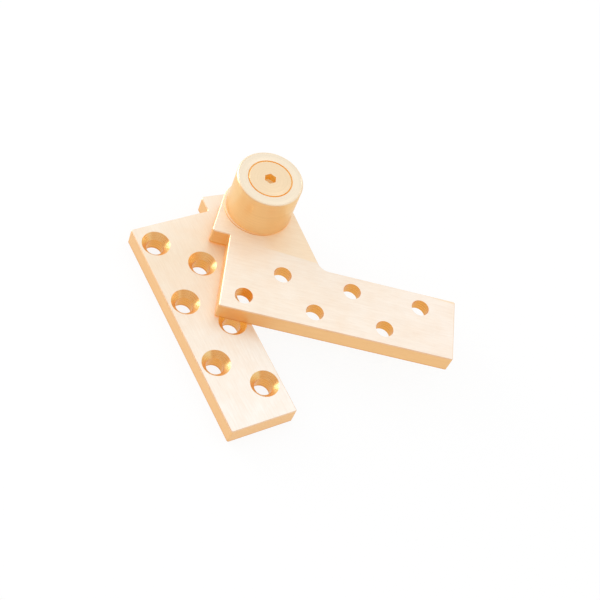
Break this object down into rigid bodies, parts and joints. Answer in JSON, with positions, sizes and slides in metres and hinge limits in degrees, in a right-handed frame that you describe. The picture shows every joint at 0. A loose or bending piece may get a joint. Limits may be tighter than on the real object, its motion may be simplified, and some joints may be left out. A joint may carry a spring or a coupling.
{
  "type": "offset door pivot hinge",
  "caption": "Offset door pivot: two cranked, countersunk brass plates that turn on a retractable pin, with a turned barrel and a hex socket adjusting screw.",
  "frame": {"origin": "on the pivot axis, at the back face of the frame plate", "axes": "+X along the frame plate from its heel to its free end, +Y towards the side that its ear sticks out on, +Z along the pivot axis towards the barrel's free end"},
  "size_m": [0.1196, 0.1244, 0.0408],
  "materials": {
    "frame_plate": "satin, brushed along its length",
    "frame_bushing": "plain bearing bronze",
    "thrust_washer": "plain bearing bronze",
    "door_plate": "satin, brushed along its length",
    "barrel": "satin, turned",
    "pivot_pin": "ground",
    "pin_key": "ground",
    "adjusting_screw": "satin, turned",
    "screw_clip": "black oxide"
  },
  "bodies": {
    "frame": {"frame_plate": "frame_plate", "frame_bushing": "frame_bushing", "thrust_washer": "thrust_washer"},
    "door": {"door_plate": "door_plate", "barrel": "barrel", "pin_key": "pin_key"},
    "screw": {"adjusting_screw": "adjusting_screw", "screw_clip": "screw_clip"},
    "pin": {"pivot_pin": "pivot_pin"}
  },
  "joints": [
    {"name": "door_swing", "type": "hinge", "parent": "frame", "child": "door", "pos_m": [0, 0, 0.0093], "axis": [0, 0, 1], "range_deg": [-57.1, 122.9]},
    {"name": "screw_turn", "type": "hinge", "parent": "door", "child": "screw", "pos_m": [0, 0, 0.03], "axis": [0, 0, 1], "range_deg": [-2063.63, 0]},
    {"name": "pin_slide", "type": "slide", "parent": "door", "child": "pin", "axis": [0, 0, 1], "range_m": [0, 0.0091]}
  ],
  "couplings": [
    {"joint": "screw_turn", "follows": "pin_slide", "rad_per_m": -3957.9}
  ]
}
